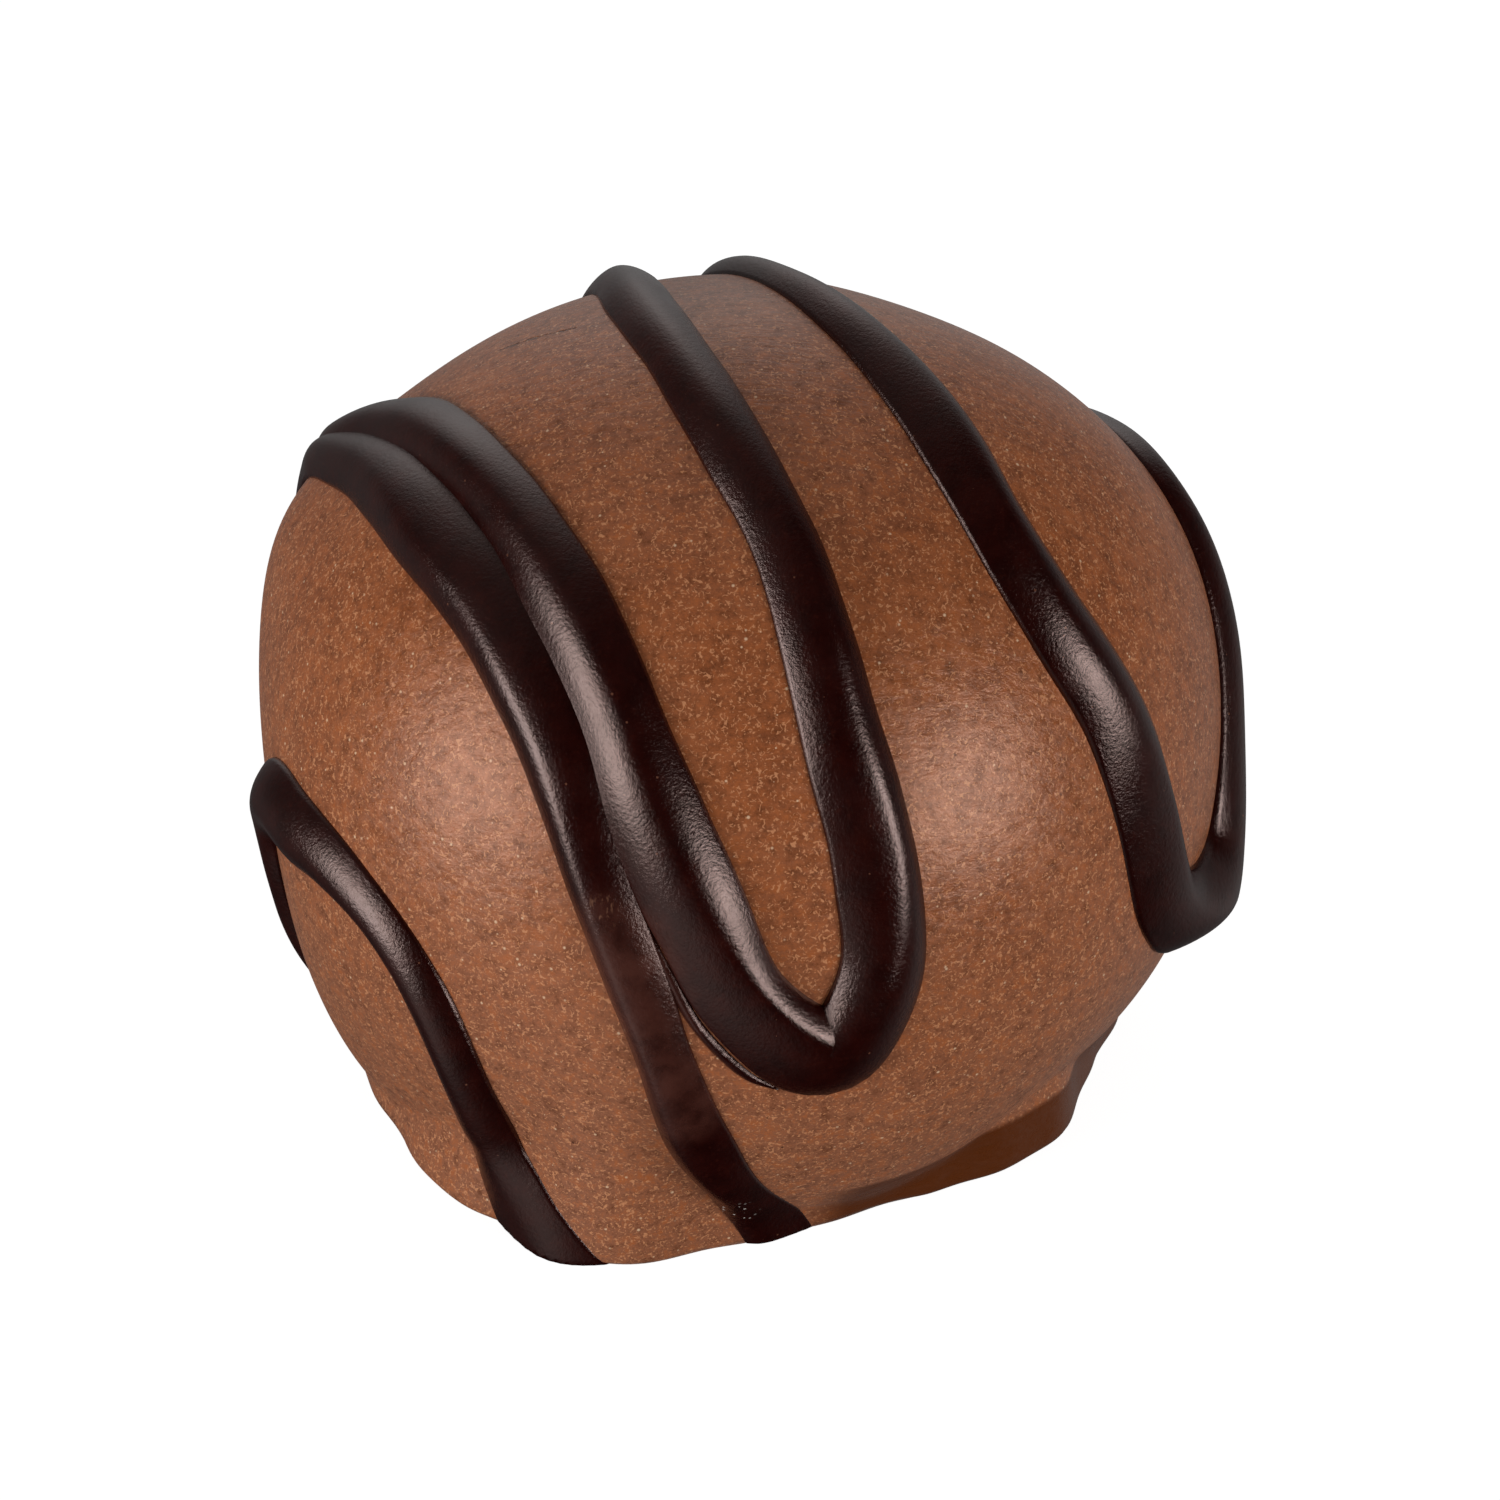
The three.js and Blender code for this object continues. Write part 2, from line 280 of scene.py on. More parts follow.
# Colours as linear red, green and blue
MILK_PALE = (0.390, 0.120, 0.044, 1)
MILK_DEEP = (0.320, 0.092, 0.031, 1)
MILK_ORANGE = (0.480, 0.140, 0.044, 1)
MILK_DARK = (0.170, 0.052, 0.020, 1)
MILK_FLECK = (0.700, 0.300, 0.140, 1)
MILK_BRIGHT_FLECK = (0.900, 0.600, 0.380, 1)
MILK_LOW = (0.360, 0.142, 0.076, 1)
# Painted sheen: a greyer tone on the top that stands in for light reflected there
MILK_TOP_PAINTED_SHEEN = (0.360, 0.230, 0.190, 1)
# Painted shade: the skirt's darker colour stands in for the shade under the belly
MILK_SKIRT_PAINTED_SHADE = (0.125, 0.030, 0.006, 1)
MILK_PIT = (0.060, 0.018, 0.008, 1)
MILK_SHEEN = (1.0, 0.84, 0.78, 1)
MILK_GLOSS_TINT = (1.0, 0.66, 0.52, 1)
DARK_GLOSS_TINT = (1.0, 0.74, 0.68, 1)
DARK_DEEP = (0.013, 0.0008, 0.0005, 1)
DARK_PALE = (0.026, 0.0024, 0.0014, 1)
DARK_RED = (0.060, 0.010, 0.005, 1)
# Reddish film, partly a painted sheen on the first stroke's lower flank
DARK_FILM_AND_PAINTED_SHEEN = (0.085, 0.026, 0.018, 1)
DARK_SCRATCH = (0.240, 0.110, 0.065, 1)
DARK_SUGAR = (0.800, 0.720, 0.660, 1)
DARK_FLECK = (0.200, 0.080, 0.045, 1)

# What a noise gives in the milk chocolate: from value, to value, and what it gives at each
MILK_PALE_BLOTCHES = (0.35, 0.65)
MILK_ORANGE_MOTTLE = (0.50, 0.64, 0, 1)
MILK_DARK_MOTTLE = (0.50, 0.34, 0, 0.9)
MILK_ROUGHNESS = (0.3, 0.7, 0.22, 0.40)
MILK_GLOSS = (0.38, 0.60, 0.40, 1.0)

# The milk chocolate is paler low down, and greyer on top where a sheen is painted into its colour: from
# height, to height, share at each
MILK_LOW_HEIGHTS = (17, 6, 0, 0.75)
MILK_TOP_PAINTED_SHEEN_HEIGHTS = (21, 24, 0, 0.2)

# What a noise gives in the dark chocolate, in the same order, and the dark chocolate's gloss
DARK_PALE_MOTTLE = (0.35, 0.7)
DARK_RED_MOTTLE = (0.56, 0.72, 0, 0.3)
DARK_FILM_AND_PAINTED_SHEEN_MOTTLE = (0.35, 0.65, 0.25, 0.7)
DARK_CHIPPED = (0.55, 0.68, 0, 0.7)
DARK_ROUGHNESS = (0.3, 0.7, 0.19, 0.27)
DARK_GLOSS = 0.95

# How strongly each small mark covers the chocolate under it
MILK_BRIGHT_FLECK_SHARE = 0.9
MILK_PIT_SHARE = 0.8
MILK_CRACK_SHARE = 0.7
DARK_FLECK_SHARE = 0.7
DARK_SCRATCH_SHARE = 0.8

# The milk chocolate's faint bloom
MILK_SHEEN_WEIGHT = 0.1
MILK_SHEEN_ROUGHNESS = 0.35

# Fine relief of the surfaces: how deep it is in metres, and how strongly each part of it shows
BUMP_METRES = 0.00003
MILK_BUMP = 0.8
MILK_GRAIN_RELIEF = 0.6
MILK_STREAK_RELIEF = 1.4
MILK_CRACK_RELIEF = 3
DARK_BUMP = 0.7

# Fine pale threads in the milk chocolate, in layers: turn, spacing, share shown, strength
MILK_FIBRE_LAYERS = [
    ((0, 0, 20), 0.24, 0.40, 0.85),
    ((60, 20, 80), 0.28, 0.38, 0.9),
    ((110, 70, 0), 0.17, 0.40, 0.85),
]
MILK_FIBRE_THICKNESS = 0.044
FIBRE_MASK_SHIFT = (31, 17, 5)
FIBRE_MASK_SIZE_SHARE = 0.55
FIBRE_MASK_EDGE = 0.04

# Inside this share of its radius a mark shows in full; the smallest speck keeps a division safe
SPECK_CORE = 0.4
SPOT_CORE = 0.5
LINE_CORE = 0.5
SMALLEST_SPECK = 1e-4

# Small marks as azimuth, latitude and lift off the body: a crack in the ball, scratches on the
# drizzle, and with the radius of each patch a reddish film partly painted as sheen, chips and
# a few grains of sugar
CRACK_START = (149.6, 55.9, 0)
CRACK_END = (142.2, 65.5, 0)
CRACK_WIDTH = 0.09
DARK_SCRATCHES = [
    ((239.2, 52.0, 0.9), (240.3, 54.6, 0.9)),
    ((317.8, 55.5, 0.6), (324.0, 57.0, 0.6)),
]
SCRATCH_WIDTH = 0.06
RED_FILM_AND_PAINTED_SHEEN = [
    (256.5, 16, 0.6, 2.2),
    (259, 10, 0.6, 2.2),
    (261, 3, 0.6, 2.2),
    (263.5, -4, 0.6, 2.2),
]
CHIPS = (254.4, 20.3, 0.6, 0.7)
SUGAR = (269.9, -27.6, 0.4, 0.9)

# Painted shade on the skirt of the foot, under the belly's overhang: full shade within the first
# radius and below the top, none beyond the second radius and above the fade
SKIRT_SHADE_MIDDLE = (9.5, -9.2, 0)
SKIRT_SHADE_CORE = 6.5
SKIRT_SHADE_RADIUS = 8.5
SKIRT_SHADE_TOP = 1.9
SKIRT_SHADE_FADE = 0.3

# Floor
FLOOR_SIZE = 3000
FLOOR_DROP = 0.02
FLOOR_SHADE = 0.3
FLOOR_GLOW = 0.93

# The room's soft light: azimuth, elevation and brightness of its broad glows
ROOM_GLOWS = [
    (225, -25, 0.44),
    (150, -20, 0.10),
    (25, -28, 0.25),
    (80, -25, 0.20),
    (94, 18, 0.85),
    (100, 68, 0.08),
    (185, 44, 0.10),
]
GLOW_SHARPNESS = 10

# Large matte sheets that fill the shadows without a shine: azimuth, elevation, brightness
FILL_SHEETS = [
    (225, -25, 0.36),
    (210, -60, 0.22),
    (325, -35, 0.20),
    (70, -25, 0.22),
    (105, 30, 0.36),
    (270, 35, 0.20),
    (350, 50, 0.05),
]
FILL_SPREAD = 70

# Soft boxes: azimuth, elevation, distance, width, height, brightness
LEFT_BOX = (206, 12, 350, 220, 180, 5.4)
RIGHT_BOX = (326, 14, 350, 200, 140, 6.8)


def direction(azimuth, latitude):
    """Unit vectors that point to places on the ball."""
    turned = np.radians(azimuth)
    raised = np.radians(latitude)
    level = np.cos(raised)
    return np.stack([level * np.cos(turned), level * np.sin(turned), np.sin(raised)], axis=-1)


def azimuth_of(units):
    return np.degrees(np.arctan2(units[..., 1], units[..., 0]))


def turn(start, end):
    """Degrees from one azimuth to another, between -180 and 180."""
    return (end - start + 180) % 360 - 180


def bell(distance, spread):
    """1 at no distance, falling off softly over the spread."""
    return np.exp(-((distance / spread) ** 2))


def soft_max(a, b, softness):
    """The larger of two lengths, rounded over where they are nearly equal."""
    share = np.clip(0.5 + 0.5 * (a - b) / softness, 0, 1)
    return b + (a - b) * share + softness * share * (1 - share)


def ball_reach(units):
    """Distance from the ball's centre to the ball's own surface."""
    reach = np.full(units.shape[:-1], float(BALL_RADIUS))
    for azimuth, latitude, rise, spread in SWELLS:
        cosine = np.clip(units @ direction(azimuth, latitude), -1, 1)
        reach += rise * bell(np.degrees(np.arccos(cosine)), spread)
    return reach


def skirt_share(azimuth):
    """1 where the foot is an upright skirt, 0 where it flares softly."""
    return np.exp(-((turn(SKIRT_AZIMUTH, azimuth) / SKIRT_SPREAD) ** 4))


def full_share(azimuth):
    """1 where the body comes down full to the table, 0 where the foot flares out from a waist."""
    return bell(turn(FULL_AZIMUTH, azimuth), FULL_SPREAD)


def foot_radius(azimuth):
    """Radius of the foot just above the table."""
    radius = np.full(np.shape(azimuth), FOOT_RADIUS)
    for lobe_azimuth, reach, spread in FOOT_LOBES:
        radius += reach * bell(turn(lobe_azimuth, azimuth), spread)
    for waves, depth, shift in FOOT_RIPPLES:
        radius += depth * np.sin(waves * np.radians(azimuth) + shift)
    return radius


def foot_radius_at(azimuth, height):
    """Radius of the foot at a height above the table."""
    up = np.maximum(height, 0)
    flare_share = (1 - skirt_share(azimuth)) * (1 - (1 - FULL_FLARE_SHARE) * full_share(azimuth))
    flare = flare_share * (FOOT_FLARE * up + FOOT_FLARE_CURVE * up * up)
    edge = np.clip(1 - height / FOOT_EDGE_HEIGHT, 0, 1)
    return foot_radius(azimuth) - flare - FOOT_DRAFT * up - FOOT_EDGE_DEPTH * edge * edge


def foot_reach(units):
    """Distance from the ball's centre to the foot's side along directions that point down."""
    azimuth = azimuth_of(units)
    level = np.maximum(np.hypot(units[..., 0], units[..., 1]), SMALLEST_LEVEL)
    reach = foot_radius(azimuth) / level
    for _ in range(FOOT_FITTING_PASSES):
        reach = foot_radius_at(azimuth, CENTRE_HEIGHT + reach * units[..., 2]) / level
    return reach


def body_reach(units):
    """Distance from the ball's centre to the surface of ball and foot together."""
    ball = ball_reach(units)
    azimuth = azimuth_of(units)
    softness = FOOT_BLEND + (FULL_BLEND - FOOT_BLEND) * full_share(azimuth)
    softness += (SKIRT_BLEND - softness) * skirt_share(azimuth)
    low = units[..., 2] <= FOOT_STARTS_BELOW
    foot = np.where(low, foot_reach(units), 0)
    return np.where(low, soft_max(ball, foot, softness), ball)


def edge_latitude(azimuth):
    """Latitude at which the body meets the table."""
    low = np.full(np.shape(azimuth), float(EDGE_LATITUDE_LOWEST))
    high = np.full(np.shape(azimuth), float(EDGE_LATITUDE_HIGHEST))
    for _ in range(EDGE_FITTING_PASSES):
        middle = (low + high) / 2
        units = direction(azimuth, middle)
        below = body_reach(units) * units[..., 2] < -CENTRE_HEIGHT
        low = np.where(below, middle, low)
        high = np.where(below, high, middle)
    return high


def points_along(units, reach):
    """Points along directions from the ball's centre, in the part's own frame."""
    return units * reach[..., None] + np.array([0, 0, CENTRE_HEIGHT])


def mesh_from(name, points, faces):
    """A mesh whose faces are a list of index lists."""
    mesh = bpy.data.meshes.new(name)
    mesh.from_pydata([tuple(p) for p in points], [], faces)
    mesh.update()
    return mesh


def grid_faces(rows, columns):
    """Quads between rows of points, each row a closed ring."""
    faces = []
    for row in range(rows - 1):
        for column in range(columns):
            a = row * columns + column
            b = row * columns + (column + 1) % columns
            faces.append((a, a + columns, b + columns, b))
    return faces


def finished_object(name, mesh):
    """An object of a mesh made in millimetres, in metres and smooth, riding on the part."""
    mesh.transform(Matrix.Scale(METRES, 4))
    mesh.name = name
    mesh.polygons.foreach_set("use_smooth", [True] * len(mesh.polygons))
    thing = bpy.data.objects.new(name, mesh)
    bpy.context.scene.collection.objects.link(thing)
    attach(thing, "root")
    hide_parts("chocolate")
    return thing


# Body

def body_mesh():
    """Ball and foot as one closed skin: rings from the top to the table, and a flat base."""
    azimuths = np.arange(BODY_STEPS_AROUND) * 360 / BODY_STEPS_AROUND
    edges = edge_latitude(azimuths)
    shares = np.arange(1, BODY_STEPS_DOWN + 1) / BODY_STEPS_DOWN
    latitudes = 90 + (edges[None, :] - 90) * shares[:, None]
    units = direction(np.broadcast_to(azimuths, latitudes.shape), latitudes)
    points = points_along(units, body_reach(units)).reshape(-1, 3)
    rim_start = len(points) - BODY_STEPS_AROUND
    points[rim_start:, 2] = 0
    faces = grid_faces(BODY_STEPS_DOWN, BODY_STEPS_AROUND)
    top = len(points)
    top_unit = np.array([[0.0, 0.0, 1.0]])
    points = np.vstack([points, points_along(top_unit, body_reach(top_unit))])
    for column in range(BODY_STEPS_AROUND):
        faces.append((top, column, (column + 1) % BODY_STEPS_AROUND))
    faces.append(tuple(range(len(points) - 2, rim_start - 1, -1)))
    return mesh_from("ball", points, faces)


# Drizzle

def route_samples(route):
    """Even samples along a route: unit directions, tangents, widths, ridges, and distance travelled."""
    rows = np.array(route, float)
    knots = np.hstack([direction(rows[:, 0], rows[:, 1]) * BALL_RADIUS, rows[:, 2:]])
    knots = np.vstack([2 * knots[0] - knots[1], knots, 2 * knots[-1] - knots[-2]])
    steps = np.arange(ROUTE_STEPS_PER_ROW) / ROUTE_STEPS_PER_ROW
    curve = []
    for index in range(len(rows) - 1):
        p0, p1, p2, p3 = knots[index : index + 4]
        t1 = np.linalg.norm(p1[:3] - p0[:3]) ** 0.5
        t2 = t1 + np.linalg.norm(p2[:3] - p1[:3]) ** 0.5
        t3 = t2 + np.linalg.norm(p3[:3] - p2[:3]) ** 0.5
        t = (t1 + (t2 - t1) * steps)[:, None]
        a1 = (t1 - t) / t1 * p0 + t / t1 * p1
        a2 = (t2 - t) / (t2 - t1) * p1 + (t - t1) / (t2 - t1) * p2
        a3 = (t3 - t) / (t3 - t2) * p2 + (t - t2) / (t3 - t2) * p3
        b1 = (t2 - t) / t2 * a1 + t / t2 * a2
        b2 = (t3 - t) / (t3 - t1) * a2 + (t - t1) / (t3 - t1) * a3
        curve.append((t2 - t) / (t2 - t1) * b1 + (t - t1) / (t2 - t1) * b2)
    curve = np.vstack([*curve, knots[-2]])
    lengths = np.linalg.norm(np.diff(curve[:, :3], axis=0), axis=1)
    travelled = np.concatenate([[0], np.cumsum(lengths)])
    count = int(round(travelled[-1] / RING_SPACING)) + 1
    even = np.linspace(0, travelled[-1], count)
    curve = np.stack([np.interp(even, travelled, column) for column in curve.T], axis=-1)
    middles = curve[:, :3] / np.linalg.norm(curve[:, :3], axis=1)[:, None]
    tangents = np.gradient(middles, axis=0)
    return middles, tangents, curve[:, 3], curve[:, 4], even


def section_rise(share, ridge):
    """Height of the section as a share of its ridge's, at a place from -1 to 1 across it."""
    away = np.maximum((ridge - share) / (1 + ridge), (share - ridge) / (1 - ridge))
    flank = 1 - away**FLANK_CURVE
    lip = np.sqrt(1 - (1 - np.clip(flank / LIP_REACH, 0, 1)) ** 2)
    return LIP_SHARE * lip + (1 - LIP_SHARE) * flank


def drizzle_sweep(route, height_share):
    """Points and faces of one closed sweep of the section along a route."""
    middles, tangents, widths, ridges, travelled = route_samples(route)
    across = np.cross(tangents, middles)
    across /= np.linalg.norm(across, axis=1)[:, None]
    to_end = np.minimum(travelled, travelled[-1] - travelled)
    share_to_end = np.clip(to_end / END_LENGTH, 0, 1)
    fullness = END_HEIGHT_SHARE + (1 - END_HEIGHT_SHARE) * share_to_end**2 * (3 - 2 * share_to_end)
    heights = SECTION_BASE_HEIGHT + SECTION_HEIGHT_PER_WIDTH * widths
    for azimuth, latitude, rise, spread in DRIZZLE_SWELLS:
        cosine = np.clip(middles @ direction(azimuth, latitude), -1, 1)
        heights = heights + rise * bell(np.degrees(np.arccos(cosine)), spread)
    heights = heights * fullness * height_share * (1 - LOWER_PER_RIDGE * np.abs(ridges))
    half_angles = widths / 2 / BALL_RADIUS
    for wavelength, width_wave, height_wave, shift in UNEVENNESS:
        phase = 2 * math.pi * travelled / wavelength + shift
        half_angles = half_angles * (1 + width_wave * np.sin(phase))
        height_phase = phase * HEIGHT_WAVE_PACE + HEIGHT_WAVE_SHIFT
        heights = heights * (1 + height_wave * np.sin(height_phase))
    columns = []
    for step in range(SECTION_STEPS + 1):
        share = math.cos(math.pi * step / SECTION_STEPS)
        units = middles + across * (share * half_angles)[:, None]
        units /= np.linalg.norm(units, axis=1)[:, None]
        lift = -SECTION_SINK + (heights + SECTION_SINK) * section_rise(share, ridges)
        columns.append(points_along(units, body_reach(units) + lift))
    for column in (columns[-1], columns[0]):
        outward = column - np.array([0, 0, CENTRE_HEIGHT])
        outward /= np.linalg.norm(outward, axis=1)[:, None]
        columns.append(column - outward * ROOT_DEPTH)
    points = np.stack(columns, axis=1).reshape(-1, 3)
    count = len(columns)
    faces = grid_faces(len(middles), count)
    faces.append(tuple(reversed(range(count))))
    faces.append(tuple(range(len(points) - count, len(points))))
    return points, faces


def cut_at_table(mesh):
    """Cuts off what is below the table and closes the cut."""
    work = bmesh.new()
    work.from_mesh(mesh)
    geometry = list(work.verts) + list(work.edges) + list(work.faces)
    cut = bmesh.ops.bisect_plane(
        work, geom=geometry, plane_co=(0, 0, 0), plane_no=(0, 0, 1), clear_inner=True
    )
    rim = [part for part in cut["geom_cut"] if isinstance(part, bmesh.types.BMEdge)]
    bmesh.ops.contextual_create(work, geom=rim)
    work.to_mesh(mesh)
    work.free()


def drizzle_mesh():
    """Both routes and the thread, rooted in the ball and cut level with the table."""
    all_points = []
    all_faces = []
    for route, height_share in ((LEFT_LOOP, 1), (LONG_ZIGZAG, 1), (THREAD, THREAD_HEIGHT_SHARE)):
        points, faces = drizzle_sweep(route, height_share)
        start = sum(len(block) for block in all_points)
        all_points.append(points)
        all_faces += [tuple(index + start for index in face) for face in faces]
    mesh = mesh_from("drizzle", np.vstack(all_points), all_faces)
    cut_at_table(mesh)
    return mesh


# Materials

class Nodes:
    """Makes the nodes of one material, each input given as a value or as another node's socket."""

    def __init__(self, tree):
        self.tree = tree

    def add(self, kind, inputs=None, **settings):
        node = self.tree.nodes.new(kind)
        for name, value in settings.items():
            setattr(node, name, value)
        for name, value in (inputs or {}).items():
            self.put(node.inputs[name], value)
        return node

    def put(self, socket, value):
        if isinstance(value, bpy.types.NodeSocket):
            self.tree.links.new(value, socket)
        else:
            socket.default_value = value

    def math(self, operation, a, b=0.0):
        return self.add("ShaderNodeMath", {0: a, 1: b}, operation=operation).outputs[0]

    def times(self, a, b):
        return self.math("MULTIPLY", a, b)

    def spread(self, value, low, high, out_low=0.0, out_high=1.0):
        """Maps low..high to out_low..out_high, held at both ends."""
        inputs = {
            "Value": value,
            "From Min": low,
            "From Max": high,
            "To Min": out_low,
            "To Max": out_high,
        }
        return self.add("ShaderNodeMapRange", inputs, clamp=True).outputs[0]

    def eased(self, value, low, high):
        """Maps low..high to 0..1 with soft ends."""
        inputs = {"Value": value, "From Min": low, "From Max": high}
        return self.add("ShaderNodeMapRange", inputs, interpolation_type="SMOOTHSTEP").outputs[0]

    def noise(self, place, size, detail=2.0, roughness=0.5, distortion=0.0):
        """Soft noise whose largest forms are about as large as the size in millimetres."""
        inputs = {
            "Vector": place,
            "Scale": 1 / size,
            "Detail": detail,
            "Roughness": roughness,
            "Distortion": distortion,
        }
        return self.add("ShaderNodeTexNoise", inputs).outputs["Fac"]

    def mix(self, share, a, b):
        """Colour a where the share is 0, colour b where it is 1: the node's inputs 6 and 7."""
        node = self.add("ShaderNodeMix", data_type="RGBA", blend_type="MIX")
        self.put(node.inputs[0], share)
        self.put(node.inputs[6], a)
        self.put(node.inputs[7], b)
        return node.outputs[2]

    def millimetres(self, turned=(0, 0, 0), stretched=(1, 1, 1)):
        """Places on the object in millimetres, stretched along its axes and then turned."""
        place = self.add("ShaderNodeTexCoord").outputs["Object"]
        scaled = [part / METRES for part in stretched]
        inputs = {"Vector": place, "Rotation": [math.radians(a) for a in turned], "Scale": scaled}
        return self.add("ShaderNodeMapping", inputs).outputs[0]


def new_material(name):
    material = bpy.data.materials.new(name)
    material.use_nodes = True
    nodes = Nodes(material.node_tree)
    shader = material.node_tree.nodes["Principled BSDF"]
    return material, nodes, shader


def specks(nodes, place, spacing, share_shown, radius):
    """1 inside small scattered specks, 0 elsewhere, each speck of its own size up to the radius."""
    cells = nodes.add("ShaderNodeTexVoronoi", {"Vector": place, "Scale": 1 / spacing}, feature="F1")
    own = nodes.add("ShaderNodeSeparateColor", {"Color": cells.outputs["Color"]})
    reach = nodes.spread(own.outputs[0], 1 - share_shown, 1, 0, radius / spacing)
    radius_shown = nodes.math("MAXIMUM", reach, SMALLEST_SPECK)
    ratio = nodes.math("DIVIDE", cells.outputs["Distance"], radius_shown)
    return nodes.spread(ratio, 1, SPECK_CORE)


def fibres(nodes, place, spacing, thickness, share_shown):
    """1 along short curved threads, 0 elsewhere."""
    field = nodes.noise(place, spacing, detail=1.0, roughness=0.4, distortion=0.3)
    away = nodes.math("ABSOLUTE", nodes.math("SUBTRACT", field, 0.5))
    line = nodes.spread(away, thickness, thickness * SPECK_CORE)
    inputs = {"Vector": place, "Location": FIBRE_MASK_SHIFT}
    elsewhere = nodes.add("ShaderNodeMapping", inputs).outputs[0]
    mask = nodes.noise(elsewhere, spacing * FIBRE_MASK_SIZE_SHARE, detail=0.0)
    shown = nodes.spread(mask, 1 - share_shown, 1 + FIBRE_MASK_EDGE - share_shown)
    return nodes.times(line, shown)


def spot(azimuth, latitude, lift):
    """A place on the body, or lifted off it, in millimetres."""
    unit = direction(azimuth, latitude)[None, :]
    place = points_along(unit, body_reach(unit) + lift)[0]
    return tuple(float(part) for part in place)


def around(nodes, place, azimuth, latitude, lift, radius):
    """1 near a spot, fading to 0 at the radius."""
    inputs = {0: place, 1: spot(azimuth, latitude, lift)}
    apart = nodes.add("ShaderNodeVectorMath", inputs, operation="DISTANCE").outputs["Value"]
    return nodes.eased(apart, radius, radius * SPOT_CORE)


def line_mark(nodes, place, start, end, width):
    """1 along a slightly uneven line between two places, 0 elsewhere."""
    along = np.subtract(end, start)
    length = float(np.linalg.norm(along))
    away = nodes.add("ShaderNodeVectorMath", {0: place, 1: start}, operation="SUBTRACT").outputs[0]
    unit = tuple(float(part) for part in along / length)
    travelled = nodes.add("ShaderNodeVectorMath", {0: away, 1: unit}, operation="DOT_PRODUCT")
    held = nodes.spread(travelled.outputs["Value"], 0, length, 0, length)
    foot = nodes.add("ShaderNodeVectorMath", {0: unit, "Scale": held}, operation="SCALE").outputs[0]
    apart = nodes.add("ShaderNodeVectorMath", {0: away, 1: foot}, operation="DISTANCE").outputs["Value"]
    wander = nodes.noise(place, size=0.4, detail=3)
    uneven = nodes.spread(wander, 0.3, 0.7, -width, width)
    return nodes.spread(nodes.math("ADD", apart, uneven), width, width * LINE_CORE)


